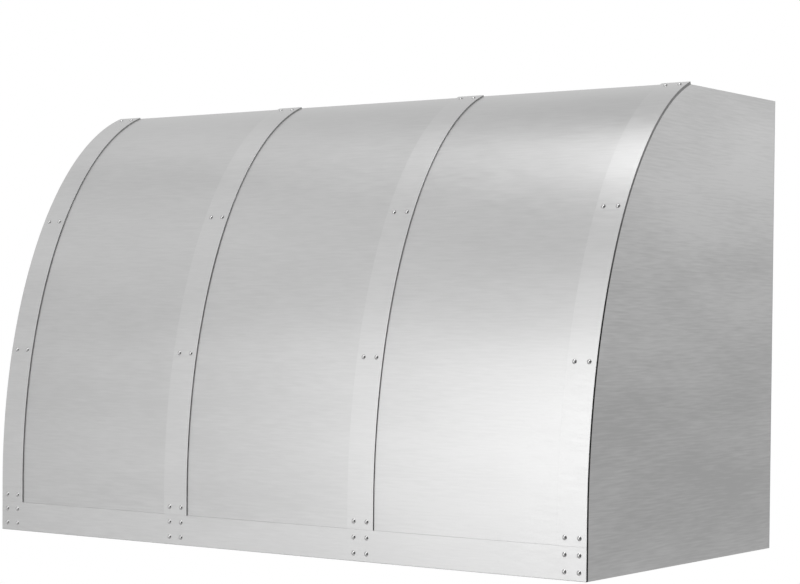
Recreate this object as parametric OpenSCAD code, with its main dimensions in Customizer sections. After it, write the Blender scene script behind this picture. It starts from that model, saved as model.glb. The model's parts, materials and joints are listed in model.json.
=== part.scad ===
// Wall-mounted range hood with a curved front, riveted straps, baffle filters and an internal blower.
// Frame: X to the right seen from the front, Y towards the wall, Z up, all in millimetres.
// Origin: middle of the bottom edge, on the wall plane.

/* [Shell] */
// Width across the side panels
hood_w = 1219.2; // [1200:0.1:1300]
// Depth at the bottom, wall to strap face
hood_d = 609.6; // [600:0.1:650]
// Height of the shell at the top of the straps
hood_h = 762; // [750:0.1:840]
// Depth of the flat top, wall to strap face
top_d = 304.8; // [300:0.1:330]
// Height of the straight skirt below the curve
skirt_h = 88.9; // [70:0.1:110]
// Share of a quarter ellipse that the front runs through, in degrees
curve_sweep = 77.9; // [70:0.1:82]
// Facets along the curve
curve_steps = 48; // [24:1:72]
// Thickness of the outer sheet
skin_t = 1.5; // [1:0.1:2]
// Width of the shell's inward bends
bend_w = 20; // [16:0.5:22]
// Width of the side panels' curved front bend
front_bend_w = 15; // [13.5:0.5:18]

/* [Straps and rivets] */
// Width of a strap
strap_w = 50.8; // [40:0.1:60]
// Thickness of the straps and the bottom band
strap_t = 3.175; // [2.5:0.005:5]
// Number of bays between the straps
bays = 3; // [3:1:3]
// Height of the bottom band
band_h = 50.8; // [48:0.1:58]
// Rivet spacing across a strap, and up its foot
rivet_grid = 25.4; // [20:0.1:28]
// Distance of the end rivets from the edge
rivet_edge = 12.7; // [10:0.1:16]
// Height of the lower rivet pair on the curve
low_pair_z = 323.5; // [280:0.1:360]
// Height of the middle rivet pair on the curve
mid_pair_z = 557; // [500:0.1:600]
// Radius of a rivet's domed head
rivet_head_r = 3.97; // [3:0.01:5]
// Height of a rivet's domed head
rivet_head_h = 2.4; // [1.5:0.1:3]
// Radius of a rivet's shank
rivet_shank_r = 2; // [1.5:0.05:2.4]

/* [Wall mount] */
// Distance of the wall screw holes from the sides
wall_hole_side = 203.2; // [180:0.1:230]
// Height of the lower wall screw holes
wall_hole_z = 120; // [105:1:140]
// Distance of the upper wall screw holes below the top of the straps
wall_hole_drop = 83.2; // [70:0.1:110]
// Radius of a wall screw hole
wall_hole_r = 4; // [3:0.1:6]
// Radius of the cable hole through the gland
gland_bore_r = 7; // [5:0.1:8]

/* [Underside] */
// Thickness of the liner sheet
liner_t = 1.5; // [1:0.1:2]
// Height of the front panel with lamps and knobs
panel_z = 38.5; // [36:0.5:44]
// Radius of a lamp's opening
lamp_r = 25; // [20:0.5:27]
// Place of the inner lamps from the middle
lamp_in_x = 185; // [170:1:220]
// Distance of the outer lamps from the side
lamp_side = 144.6; // [120:0.1:170]
// Distance of each knob from the middle
knob_x = 50; // [35:1:60]
// Radius of a knob
knob_r = 20; // [16:0.5:22]
// Height of a knob
knob_h = 18; // [14:0.5:20]
// Radius of a knob's spindle
spindle_r = 3; // [2.5:0.1:3.5]

/* [Filters] */
// Number of baffle filters side by side
filters = 3; // [3:1:3]
// Room between the outer filters and the side
filter_side_room = 29.1; // [27:0.1:34]
// Length of one filter, front to back
filter_l = 393.7; // [370:0.1:400]
// Thickness of one filter
filter_t = 22; // [18:0.5:26]
// Gap between two filters
filter_gap = 6; // [5:0.5:8]
// Upward slope of the filters towards the front, in degrees
filter_slope = 7; // [4:0.5:9]
// Length of a filter behind its pivots
filter_tail = 30; // [24:0.5:34]
// Radius of a filter's pivot pins
filter_pin_r = 3; // [2:0.1:4]
// Distance between neighbouring baffles
baffle_pitch = 42; // [36:0.5:47]
// Width of one baffle
baffle_w = 26; // [22:0.5:30]

/* [Grease trough] */
// Height of the trough's floor
trough_z = 20; // [19:0.5:24]
// Width of the trough, front to back
trough_w = 84; // [80:0.5:88]
// Length of the grease cup
cup_l = 124; // [100:1:160]

/* [Blower] */
// Distance of the round duct collar from the front and back of the top
duct_edge = 25.4; // [24:0.1:40]
// Height of the duct collar
collar_h = 112; // [100:1:120]
// Height of the outlet box under the collar
outlet_h = 55; // [40:1:70]
// Radius of a fan wheel
wheel_r = 100; // [88:0.5:104]
// Width of a fan wheel
wheel_w = 102; // [90:1:106]
// Number of blades on a fan wheel
wheel_blades = 30; // [20:1:36]
// Inside width of a fan housing
scroll_w = 122; // [118:1:130]
// Smallest radius of a fan housing
scroll_small_r = 112; // [109:0.5:116]
// Largest radius of a fan housing
scroll_big_r = 170; // [160:0.5:175]
// Radius of the motor casing
motor_r = 60; // [50:0.5:66]
// Length of the motor casing
motor_l = 132; // [120:1:140]
// Radius of the motor shaft
shaft_r = 5; // [4:0.1:6]
// Thickness of the blower's sheet
blower_t = 1.2; // [0.8:0.1:1.6]

/* [Hidden] */

// Clearances
fit_gap = 0.2;
run_gap = 0.05;
push_gap = 0.03;
seat_gap = 0.3;
cut = 1;
$fn = 48;

// Curve of the front, as an ellipse above a straight skirt
curve_rise = (hood_h - skirt_h) / sin(curve_sweep);
curve_reach = (hood_d - top_d) / (1 - cos(curve_sweep));
skin_out = strap_t;
skin_in = strap_t + skin_t;
half_w = hood_w / 2;
web_in = half_w - skin_t;
front_in_y = skin_in - hood_d;
strap_pitch = (hood_w - strap_w) / bays;

function curve_speed(a) = norm([curve_reach * sin(a), curve_rise * cos(a)]);
function curve_inward(a) = [curve_rise * cos(a), -curve_reach * sin(a)] / curve_speed(a);
function curve_point(a, o) =
    [curve_reach * (1 - cos(a)) - hood_d, skirt_h + curve_rise * sin(a)] + o * curve_inward(a);
function curve_angle_at(z) = z <= skirt_h ? 0 : asin((z - skirt_h) / curve_rise);
function surface_point(z, o) = z <= skirt_h ? [o - hood_d, z] : curve_point(curve_angle_at(z), o);
function curve_line(o, first, last) =
    [for (i = [first:last]) curve_point(curve_sweep * i / curve_steps, o)];
function front_line(o, foot) = concat([[o - hood_d, foot]], curve_line(o, 0, curve_steps));
function turned(p) = [for (i = [len(p) - 1:-1:0]) p[i]];

// Top of the shell: the upper face of the top panel meets the skin's inner edge
top_z = curve_point(curve_sweep, skin_in)[1];
top_front_y = curve_point(curve_sweep, skin_in)[0];
top_under_z = top_z - skin_t;
lip_steps = 3;

// Rivets
end_pair_a = curve_sweep - rivet_edge / curve_speed(curve_sweep) * 180 / PI;
end_pair_z = skirt_h + curve_rise * sin(end_pair_a);
foot_rows = [rivet_edge, rivet_edge + rivet_grid];
strap_rows = [rivet_edge + 2 * rivet_grid, low_pair_z, mid_pair_z, end_pair_z];
rivet_rows = concat(foot_rows, strap_rows);
rivet_tail_r = 3;
rivet_tail_h = 1.8;
rivet_hole_r = rivet_shank_r + run_gap;

// Front panel under the hood
panel_inset = 4.3;
panel_front_y = front_in_y + panel_inset;
panel_under_z = panel_z - liner_t;
foot_w = 15;
liner_foot_room = 5;

// Countersunk screws
screw_r = 2;
screw_head_r = 3.6;
screw_head_h = 1.4;
screw_bite = 3;
slot_reach = 2.2;
slot_half = 0.35;
slot_deep = 0.8;
screw_y = panel_front_y + foot_w * 0.6;
front_screw_side = 109.6;
front_screw_x = [for (i = [-5:2:5]) i / 5 * (half_w - front_screw_side)];
side_screw_back = 80;
side_screw_front = 189.6;
side_screw_y = [for (i = [0:2]) -side_screw_back - i / 2 * (hood_d - side_screw_front - side_screw_back)];
side_screw_x = half_w - skin_t - bend_w / 2;

// Filters turn on pins at their back end
filter_pitch = (hood_w - 2 * filter_side_room) / filters;
filter_w = filter_pitch - filter_gap;
pivot_room = 16;
pivot_rise = 35;
riser_room = 2;
filter_nose = filter_l - filter_tail;
pivot_y = -trough_w - pivot_room;
pivot_z = trough_z + pivot_rise;
nose_sweep = norm([filter_nose, filter_t / 2]);
riser_in_y = pivot_y - nose_sweep - riser_room;
riser_y = riser_in_y - liner_t;
nose_top_z = pivot_z + filter_nose * sin(filter_slope) + filter_t / 2 * cos(filter_slope);
lip_z = nose_top_z + seat_gap + liner_t;
lip_w = 20;
bank_half = filters * filter_pitch / 2;
hanger_t = 2.5;
hanger_low = 10;
hanger_high = 12;
hanger_nose = 12;
hanger_nose_cut = 6;
hanger_toe_y = -30;
hanger_heel_y = -45;
clip_w = 30;
clip_t = 0.6;
clip_h = 16;
clip_bump_r = 1.2;
filter_sheet = 1;
filter_leg = 12;
filter_pin_room = 0.5;
baffle_sheet = 0.8;
baffle_room = 1;
baffle_h = filter_t / 2 - filter_sheet - fit_gap - baffle_room;
filter_pin_l = (filter_gap - filter_pin_room) / 2;
handle_w = 60;
handle_rise = 14;
handle_r = 2;
liner_x = bank_half + hanger_t;
liner_h = lip_z - liner_t;

// Lamps and knobs share one line along the panel
control_y = (panel_front_y + riser_y) / 2;
lamp_out_x = half_w - lamp_side;
lamp_x = [-lamp_out_x, -lamp_in_x, lamp_in_x, lamp_out_x];
lamp_ledge = 3.5;
lamp_wall = 1.5;
lamp_sleeve_r = lamp_r + lamp_ledge + lamp_wall;
lamp_rim_w = 4;
lamp_rim_r = lamp_sleeve_r + lamp_rim_w;
lamp_rim_h = 2;
lens_t = 2.5;
lens_room = 3;
sleeve_h = 14;
fin_h = 12;
fin_foot = 3;
fin_pitch = 7;
fin_half = 0.8;
fin_reach = 20;
knob_gap = 3.5;
knob_top_z = panel_under_z - knob_gap;
knob_low_z = knob_top_z - knob_h;
bushing_r = 4.5;
bushing_l = 5;
nut_h = 2.5;
nut_r = 7.5;
spindle_reach = 14;
spindle_top_z = panel_z + spindle_reach;
switch_w = 30;
switch_h = 22;
terminal_pitch = 8;
terminal_w = 3;
terminal_t = 0.8;
terminal_h = 7;
knob_step = 2;
knob_step_h = 4;
flute_r = 2.2;
pointer_half = 1.2;
housing_w = 220;
housing_room = 16;
housing_d = riser_y - panel_front_y - 2 * housing_room;
housing_h = 52;
housing_t = 1;
housing_foot = 12;
board_rise = 34;
board_z = panel_z + board_rise;
board_t = 1.6;
board_half_x = housing_w / 2 - 20;
board_half_y = housing_d / 2 - 15;
board_post_in = 6;
board_post_r = 3;
relay_h = 12;
transformer_h = 13;
terminal_block_h = 9;

// Junction box on the back panel
jbox_side = 119.6;
jbox_drop = 162;
jbox_x = half_w - jbox_side;
jbox_z = hood_h - jbox_drop;
jbox_w = 100;
jbox_h = 80;
jbox_d = 60;
jbox_screw_in = 6;
jbox_block_half = 5;
jbox_block_d = 12;
cover_bite = 6;
gland_l = 25;
gland_r = 10;
gland_rim = 4;
gland_rim_t = 5;
gland_nut_rim = 3;
gland_nut_h = 9;
gland_nut_end = 2;

// Grease trough and cup
trough_front_y = -trough_w;
trough_lip = 12;
trough_back_h = 90;
rail_inset = 4;
rail_back = 20;
rail_y = [trough_front_y + rail_inset, -rail_back];
rail_drop = 12;
rail_lip = 5;
rail_t = 1;
rail_over = 3;
rail_room = 0.5;
cup_t = 1;
cup_low_z = 3;
cup_rim_drop = 2;
cup_rail_room = 2;
cup_tab = 12;
cup_tab_in = 8;
cup_tab_z = 4;
cup_tab_t = 2;
drip_w = 30;
drip_in = 15;

// Blower: outlet box and collar hang from the top, the fan housings from the box
duct_y = -top_d / 2;
duct_r = top_d / 2 - duct_edge;
collar_drop = 4;
collar_top_z = top_z - collar_drop;
collar_z = collar_top_z - collar_h;
outlet_z = collar_z - outlet_h;
duct_hole_room = 7;
duct_hole_r = duct_r + duct_hole_room;
collar_flange_w = 8;
collar_flange_r = duct_r + collar_flange_w;
blower_drop = 145;
blower_shift = 8;
blower_y = duct_y - blower_shift;
blower_z = outlet_z - blower_drop;
scroll_first_a = 180;
scroll_last_a = 420;
scroll_back_y = scroll_small_r * cos(scroll_last_a);
scroll_cut_z = scroll_small_r * sin(scroll_last_a);
motor_half = motor_l / 2;
motor_room = 10;
scroll_in_x = motor_half + motor_room;
scroll_out_x = scroll_in_x + scroll_w + 2 * blower_t;
inlet_step = 16;
inlet_r = wheel_r - inlet_step;
inlet_ring_r = 5;
inlet_ring_t = 1;
wheel_plate = 2;
wheel_rim = 5;
wheel_in_x = scroll_in_x + blower_t + (scroll_w - wheel_w) / 2;
hub_r = 14;
hub_room = 16;
hub_l = 20;
blade_t = 1.2;
blade_chord = 16;
blade_lean = 35;
blade_in = 9;
box_side_room = 6;
box_front_room = 1;
box_back_room = 2;
box_half_w = scroll_out_x + box_side_room;
box_front_y = blower_y - scroll_big_r - blower_t - box_front_room;
box_back_y = duct_y + collar_flange_r + box_back_room;
motor_wall = 4;
motor_boss = 3;
motor_boss_rim = 4;
bearing_r = 12;
bearing_l = 12;
core_r = 35;
core_half = 30;
core_gap = 1.5;
winding_inset = 4;
winding_end = 14;
cradle_half = 45;
cradle_drop = 10;
cradle_t = 2;
cradle_tab = 30;
cradle_rib_x = 38;
cradle_rib_t = 4;
cradle_rib_low = 20;
damper_rise = 20;
damper_z = collar_z + damper_rise;
damper_pin_r = 2.5;
flap_room = 1.8;
flap_r = duct_r - blower_t - flap_room;
flap_t = 1;
knuckle_r = 4.2;
knuckle_l = 22;
knuckle_room = 38;
knuckle_gap = 0.6;
knuckle_far = flap_r - knuckle_room;
knuckle_apart = (2 * knuckle_far - 4 * knuckle_l) / 3;
knuckle_step = 2 * (knuckle_l + knuckle_apart);
seat_w = 5;
hanger_foot = 20;
hanger_w = 30;
hanger_sheet = 2;
hanger_x = box_half_w - hanger_foot;
hanger_y = 100;
can_r = 20;
can_h = 70;
can_in = 22;
can_shift = 45;
can_tag_h = 10;

// Sheet metal bent along a path: the sheet lies to the left of the path
function side_of(a, b) = [a[1] - b[1], b[0] - a[0]] / norm(b - a);
function mitre(p, i) =
    let (k = min(i, len(p) - 2), j = max(i - 1, 0), n = side_of(p[j], p[j + 1]), m = side_of(p[k], p[k + 1]))
    (n + m) / (1 + n * m);
function beside(p, t) = [for (i = [0:len(p) - 1]) p[i] + t * mitre(p, i)];
function bent(p, t) = concat(p, turned(beside(p, t)));

// Extrudes a side outline in Y and Z along X, between two places
module across(x0, x1) {
    translate([x0, 0, 0])
        rotate([90, 0, 90])
            linear_extrude(x1 - x0) children();
}

// Extrudes a front outline in X and Z along Y, between two places
module along(y0, y1) {
    translate([0, y1, 0])
        rotate([90, 0, 0])
            linear_extrude(y1 - y0) children();
}

module box(x0, x1, y0, y1, z0, z1) {
    translate([x0, y0, z0]) cube([x1 - x0, y1 - y0, z1 - z0]);
}

module rod(r, z0, z1) {
    translate([0, 0, z0]) cylinder(r = r, h = z1 - z0);
}

module tube(r, bore, z0, z1) {
    difference() {
        rod(r, z0, z1);
        rod(bore, z0 - cut, z1 + cut);
    }
}

// Puts a part that is drawn about Z on a line parallel to X
module on_x(y, z) {
    translate([0, y, z]) rotate([0, 90, 0]) children();
}

// Puts a part that is drawn about Z on a line parallel to Y
module on_y(x, z) {
    translate([x, 0, z]) rotate([-90, 0, 0]) children();
}

module mirrored() {
    children();
    mirror([1, 0, 0]) children();
}

// Stands a part that is drawn along Z on the strap face at height z, pointing outwards
module on_face(x, z) {
    a = curve_angle_at(z);
    p = surface_point(z, 0);
    translate([x, p[0], p[1]])
        rotate([atan2(curve_rise * cos(a), curve_reach * sin(a)), 0, 0])
            children();
}

function strap_mid(k) = k * strap_pitch - (hood_w - strap_w) / 2;

// Outer rivets also pass through the side panels' front bend, top ones through the top panel's lip
function rivet_grip(k, c, z) =
    let (outer = (k == 0 && c < 0) || (k == bays && c > 0), upper = z == end_pair_z)
    skin_in + fit_gap + (outer != upper ? skin_t : 0);

module at_rivets(straps, rows) {
    for (k = straps, z = rows, c = [-0.5, 0.5])
        on_face(strap_mid(k) + c * rivet_grid, z) children();
}

module rivet_holes(straps, rows) {
    at_rivets(straps, rows) rod(rivet_hole_r, -2 * skin_in, cut);
}

module curved_sheet(outer, inner, foot) {
    polygon(concat(front_line(outer, foot), turned(front_line(inner, foot))));
}

// Outer shell

module front_skin() {
    color("silver") difference() {
        union() {
            across(-half_w, half_w) curved_sheet(skin_out, skin_in, 0);
            box(bend_w - web_in, web_in - bend_w, front_in_y - skin_t, front_in_y + bend_w, 0, skin_t);
        }
        rivet_holes([0:bays], rivet_rows);
        front_screws() screw_hole(skin_t);
    }
}

// Right-hand side panel; the left one is its mirror image
module side_panel() {
    difference() {
        union() {
            across(web_in, half_w)
                polygon(concat(front_line(skin_in, 0), [[-skin_t, top_z], [-skin_t, 0]]));
            across(web_in - front_bend_w, web_in + skin_t / 2)
                polygon(concat(
                    [[front_in_y, 0]],
                    curve_line(skin_in, 0, curve_steps - lip_steps),
                    turned(curve_line(skin_in + skin_t, 0, curve_steps - lip_steps)),
                    [[front_in_y + skin_t, 0]]));
            box(web_in - bend_w, web_in + skin_t / 2, front_in_y, -skin_t, 0, skin_t);
            box(web_in - bend_w, web_in + skin_t / 2, -2 * skin_t, -skin_t, 0, top_under_z);
            box(web_in - bend_w, web_in + skin_t / 2, top_front_y, -skin_t,
                top_under_z - skin_t, top_under_z);
        }
        rivet_holes([bays], rivet_rows);
        side_screws() screw_hole(skin_t);
    }
}

module right_side_panel() {
    color("gray") side_panel();
}

module left_side_panel() {
    color("gray") mirror([1, 0, 0]) side_panel();
}

module top_panel() {
    color("darkgray") difference() {
        union() {
            box(fit_gap - web_in, web_in - fit_gap, top_front_y, -skin_t, top_under_z, top_z);
            across(bend_w - web_in, web_in - bend_w)
                polygon(concat(
                    curve_line(skin_in, curve_steps - lip_steps + 1, curve_steps),
                    turned(curve_line(skin_in + skin_t, curve_steps - lip_steps + 1, curve_steps))));
        }
        translate([0, duct_y, 0]) rod(duct_hole_r, top_under_z - cut, top_z + cut);
        rivet_holes([0:bays], [end_pair_z]);
    }
}

module back_panel() {
    color("darkgray") difference() {
        box(-half_w, half_w, -skin_t, 0, 0, top_z);
        for (x = [-1, 1], z = [wall_hole_z, hood_h - wall_hole_drop])
            on_y(x * (half_w - wall_hole_side), z) rod(wall_hole_r, -skin_t - cut, cut);
        on_y(jbox_x, jbox_z) rod(gland_r + run_gap, -skin_t - cut, cut);
    }
}

module bottom_band() {
    color("lightgray") difference() {
        box(-half_w, half_w, -hood_d, strap_t - hood_d, 0, band_h);
        rivet_holes([0:bays], foot_rows);
    }
}

module strap(k) {
    color("lightgray") difference() {
        across(strap_mid(k) - strap_w / 2, strap_mid(k) + strap_w / 2) curved_sheet(0, skin_out, band_h);
        rivet_holes([k], strap_rows);
    }
}

// Domed head outside, shank through the sheets, upset tail inside
module rivet(grip) {
    dome = (rivet_head_r * rivet_head_r + rivet_head_h * rivet_head_h) / (2 * rivet_head_h);
    intersection() {
        translate([0, 0, rivet_head_h - dome]) sphere(r = dome);
        rod(rivet_head_r, 0, rivet_head_h + cut);
    }
    rod(rivet_shank_r, -grip - rivet_tail_h / 2, rivet_head_h / 2);
    rod(rivet_tail_r, -grip - rivet_tail_h, -grip);
}

module strap_rivets() {
    color("whitesmoke")
        for (k = [0:bays], z = rivet_rows, c = [-0.5, 0.5])
            on_face(strap_mid(k) + c * rivet_grid, z) rivet(rivet_grip(k, c, z));
}

// Underside

module control_panel() {
    path = [
        [panel_front_y + foot_w, skin_t], [panel_front_y, skin_t], [panel_front_y, panel_z],
        [riser_y, panel_z], [riser_y, lip_z], [riser_in_y + lip_w, lip_z]
    ];
    color("silver") difference() {
        across(fit_gap - web_in, web_in - fit_gap) polygon(bent(path, -liner_t));
        for (x = lamp_x) translate([x, control_y, 0])
            rod(lamp_sleeve_r + fit_gap, panel_under_z - cut, panel_z + cut);
        for (x = [-knob_x, knob_x]) translate([x, control_y, 0])
            rod(bushing_r + fit_gap, panel_under_z - cut, panel_z + cut);
        front_screws() screw_hole(skin_t + liner_t);
    }
}

module liner_sides() {
    path = [
        [web_in - liner_foot_room, skin_t], [liner_x + liner_t, skin_t],
        [liner_x + liner_t, liner_h], [web_in - fit_gap, liner_h]
    ];
    color("silver") mirrored() difference() {
        along(riser_in_y + fit_gap, -2 * skin_t - fit_gap) polygon(bent(path, -liner_t));
        side_screws() screw_hole(skin_t + liner_t);
    }
}

module grease_trough() {
    path = [
        [trough_front_y, trough_z + trough_lip], [trough_front_y, trough_z],
        [-skin_t, trough_z], [-skin_t, trough_back_h]
    ];
    color("silver") difference() {
        union() {
            across(fit_gap - liner_x, liner_x - fit_gap) polygon(bent(path, liner_t));
            for (i = [0, 1]) {
                side = 1 - 2 * i;
                rail = [
                    [rail_y[i], trough_z + liner_t / 2], [rail_y[i], trough_z - rail_drop],
                    [rail_y[i] + side * rail_lip, trough_z - rail_drop]
                ];
                across(-cup_l / 2 - rail_over, cup_l / 2 + rail_over) polygon(bent(rail, side * rail_t));
            }
        }
        box(-drip_w, drip_w, rail_y[0] + drip_in, rail_y[1] - drip_in,
            trough_z - cut, trough_z + liner_t + cut);
    }
}

// Plates with the pivot bores, standing in the trough between the filters
module filter_hangers() {
    back = trough_front_y + liner_t + fit_gap;
    arm_low = pivot_z - hanger_low;
    arm_high = pivot_z + hanger_high;
    nose_y = pivot_y - hanger_nose;
    outline = [
        [nose_y, arm_low], [back, arm_low], [back, trough_z + liner_t],
        [hanger_toe_y, trough_z + liner_t], [hanger_heel_y, arm_high],
        [nose_y + hanger_nose_cut, arm_high], [nose_y, arm_high - hanger_nose_cut]
    ];
    color("gainsboro") difference() {
        for (i = [0:filters]) {
            x = i * filter_pitch - bank_half;
            across(x - hanger_t / 2, x + hanger_t / 2) polygon(outline);
        }
        on_x(pivot_y, pivot_z) rod(filter_pin_r + run_gap, -half_w, half_w);
    }
}

// Leaf springs on the front riser that grip the filters' front ends
module filter_clips() {
    z0 = nose_top_z - filter_t;
    z1 = z0 + clip_h;
    y0 = riser_in_y;
    color("dimgray")
        for (i = [0:filters - 1]) {
            x = (i + 0.5) * filter_pitch - bank_half;
            difference() {
                union() {
                    box(x - clip_w / 2, x + clip_w / 2, y0, y0 + clip_t, z0, z1);
                    translate([x - clip_w / 2, 0, 0])
                        on_x(y0 + clip_t / 2, (z0 + z1) / 2) rod(clip_bump_r, 0, clip_w);
                }
                box(x - clip_w, x + clip_w, y0 - 2 * clip_bump_r, y0, z0 - cut, z1 + cut);
            }
        }
}

// Countersunk screw with a cross slot, drawn inwards from its flush head
module screw(grip) {
    difference() {
        union() {
            cylinder(r1 = screw_head_r, r2 = screw_r, h = screw_head_h);
            rod(screw_r, 0, grip);
        }
        for (a = [0, 90]) rotate([0, 0, a])
            box(-slot_reach, slot_reach, -slot_half, slot_half, -cut, slot_deep);
    }
}

module screw_hole(grip) {
    rod(screw_head_r + run_gap, -cut, 0);
    cylinder(r1 = screw_head_r + run_gap, r2 = screw_r + run_gap, h = screw_head_h);
    rod(screw_r + run_gap, -cut, grip + cut);
}

module front_screws() {
    for (x = front_screw_x) translate([x, screw_y, 0]) children();
}

module side_screws() {
    for (y = side_screw_y) translate([side_screw_x, y, 0]) children();
}

module cover_screws() {
    for (s = [-1, 1])
        on_y(jbox_x + s * (jbox_w / 2 - jbox_screw_in), jbox_z)
            translate([0, 0, -skin_t - jbox_d - blower_t]) children();
}

module sheet_screws() {
    color("silver") {
        front_screws() screw(skin_t + liner_t + screw_bite);
        mirrored() side_screws() screw(skin_t + liner_t + screw_bite);
        cover_screws() screw(blower_t + cover_bite);
    }
}

module lamp_bezels() {
    color("lightgray")
        for (x = lamp_x) translate([x, control_y, 0]) {
            difference() {
                union() {
                    rod(lamp_rim_r, panel_under_z - lamp_rim_h, panel_under_z);
                    rod(lamp_sleeve_r, panel_under_z - lamp_rim_h, panel_under_z + sleeve_h);
                }
                rod(lamp_r, panel_under_z - lamp_rim_h - cut, panel_z);
                rod(lamp_r + lamp_ledge, panel_under_z, panel_under_z + sleeve_h + cut);
            }
        }
}

module lamp_lenses() {
    color("white", 0.6)
        for (x = lamp_x) translate([x, control_y, 0])
            rod(lamp_r + lamp_ledge - fit_gap, panel_under_z, panel_under_z + lens_t);
}

// Light source with its cooling fins, resting on the bezel's sleeve
module lamp_modules() {
    top = panel_under_z + sleeve_h;
    color("dimgray")
        for (x = lamp_x) translate([x, control_y, 0]) {
            rod(lamp_r + lamp_ledge - fit_gap, panel_under_z + lens_t + lens_room, top + cut);
            rod(lamp_sleeve_r + 1, top, top + fin_foot);
            for (f = [-3:3])
                box(f * fin_pitch - fin_half, f * fin_pitch + fin_half, -fin_reach, fin_reach,
                    top + fin_foot / 2, top + fin_foot + fin_h);
        }
}

// Rotary switch: box above the panel, threaded bushing through it
module rotary_switch(x) {
    translate([x, control_y, 0]) difference() {
        union() {
            box(-switch_w / 2, switch_w / 2, -switch_w / 2, switch_w / 2, panel_z, panel_z + switch_h);
            rod(bushing_r, panel_under_z - bushing_l, panel_z + cut);
            for (t = [-1, 0, 1]) translate([t * terminal_pitch, 0, 0])
                box(-terminal_w / 2, terminal_w / 2, -terminal_t / 2, terminal_t / 2,
                    panel_z, panel_z + switch_h + terminal_h);
        }
        rod(spindle_r + run_gap, panel_under_z - bushing_l - cut, spindle_top_z + seat_gap);
    }
}

module fan_switch() {
    color("dimgray") rotary_switch(-knob_x);
}

module light_dimmer() {
    color("slategray") rotary_switch(knob_x);
}

module switch_nuts() {
    color("silver")
        for (x = [-knob_x, knob_x]) translate([x, control_y, 0]) difference() {
            translate([0, 0, panel_under_z - nut_h]) cylinder(r = nut_r, h = nut_h, $fn = 6);
            rod(bushing_r + push_gap, panel_under_z - nut_h - cut, panel_under_z + cut);
        }
}

// Fluted knob with a pointer rib, a recess over the nut and a blind bore for the spindle
module knob(x) {
    flutes = 16;
    translate([x, control_y, 0]) difference() {
        union() {
            rod(knob_r - knob_step, knob_low_z, knob_top_z);
            rod(knob_r, knob_low_z + knob_step_h, knob_top_z);
            box(-pointer_half, pointer_half, 1 - knob_r, 0, knob_low_z - pointer_half, knob_low_z + cut);
        }
        for (i = [0:flutes - 1]) rotate([0, 0, (i + 0.5) * 360 / flutes])
            translate([knob_r + flute_r / 2, 0, 0]) rod(flute_r, knob_low_z - cut, knob_top_z - knob_step_h);
        rod(nut_r + 1, knob_top_z - bushing_l, knob_top_z + cut);
        rod(spindle_r + push_gap, knob_low_z + knob_step_h, knob_top_z + cut);
    }
}

module spindle(x) {
    translate([x, control_y, 0]) rod(spindle_r, knob_low_z + knob_step_h + seat_gap, spindle_top_z);
}

module fan_knob() {
    color("black") knob(-knob_x);
}

module light_knob() {
    color("black") knob(knob_x);
}

module fan_spindle() {
    color("silver") spindle(-knob_x);
}

module light_spindle() {
    color("silver") spindle(knob_x);
}

// Cover over the switches, open downwards, with two feet on the panel
module control_housing() {
    half = housing_w / 2;
    y0 = control_y - housing_d / 2;
    y1 = control_y + housing_d / 2;
    z1 = panel_z + housing_h;
    color("gray") difference() {
        union() {
            box(-half, half, y0, y1, panel_z, z1);
            box(-half - housing_foot, half + housing_foot, y0, y1, panel_z, panel_z + housing_t);
        }
        box(housing_t - half, half - housing_t, y0 + housing_t, y1 - housing_t,
            panel_z - cut, z1 - housing_t);
    }
}

// Circuit board hung from the cover's roof, with relays, a transformer and terminals
module control_board() {
    roof = panel_z + housing_h - housing_t;
    bx = board_half_x;
    by = board_half_y;
    post_x = bx - board_post_in;
    post_y = by - board_post_in;
    face = board_z + board_t / 2;
    color("darkgreen") translate([0, control_y, 0]) {
        box(-bx, bx, -by, by, board_z, board_z + board_t);
        for (x = [-post_x, post_x], y = [-post_y, post_y])
            translate([x, y, 0]) rod(board_post_r, face, roof);
        for (i = [0:2]) translate([bx * (i / 4 - 0.7), 0, 0])
            box(-bx * 0.09, bx * 0.09, -by * 0.75, -by * 0.15, face, face + relay_h);
        box(bx * 0.2, bx * 0.58, -by * 0.7, by * 0.35, face, face + transformer_h);
        box(-bx * 0.73, bx * 0.45, by * 0.57, by * 0.86, face, face + terminal_block_h);
        for (x = [-0.61, -0.39]) translate([x * bx, by * 0.22, 0]) rod(bx / 18, face, face + relay_h);
    }
}

// Electrical entry

module junction_box() {
    x0 = jbox_x - jbox_w / 2;
    z0 = jbox_z - jbox_h / 2;
    y0 = -skin_t - jbox_d;
    b = jbox_block_half;
    color("gray") difference() {
        union() {
            difference() {
                box(x0, x0 + jbox_w, y0, -skin_t, z0, z0 + jbox_h);
                box(x0 + blower_t, x0 + jbox_w - blower_t, y0 - cut, -skin_t - blower_t,
                    z0 + blower_t, z0 + jbox_h - blower_t);
            }
            for (s = [-1, 1]) translate([jbox_x + s * (jbox_w / 2 - jbox_screw_in), 0, jbox_z])
                box(-b, b, y0, y0 + jbox_block_d, -b, b);
        }
        on_y(jbox_x, jbox_z) rod(gland_r + run_gap, -skin_t - blower_t - cut, cut);
        cover_screws() screw_hole(blower_t + cover_bite + cut);
    }
}

module junction_cover() {
    x0 = jbox_x - jbox_w / 2;
    z0 = jbox_z - jbox_h / 2;
    y1 = -skin_t - jbox_d;
    color("gray") difference() {
        box(x0, x0 + jbox_w, y1 - blower_t, y1, z0, z0 + jbox_h);
        cover_screws() screw_hole(blower_t);
    }
}

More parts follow.
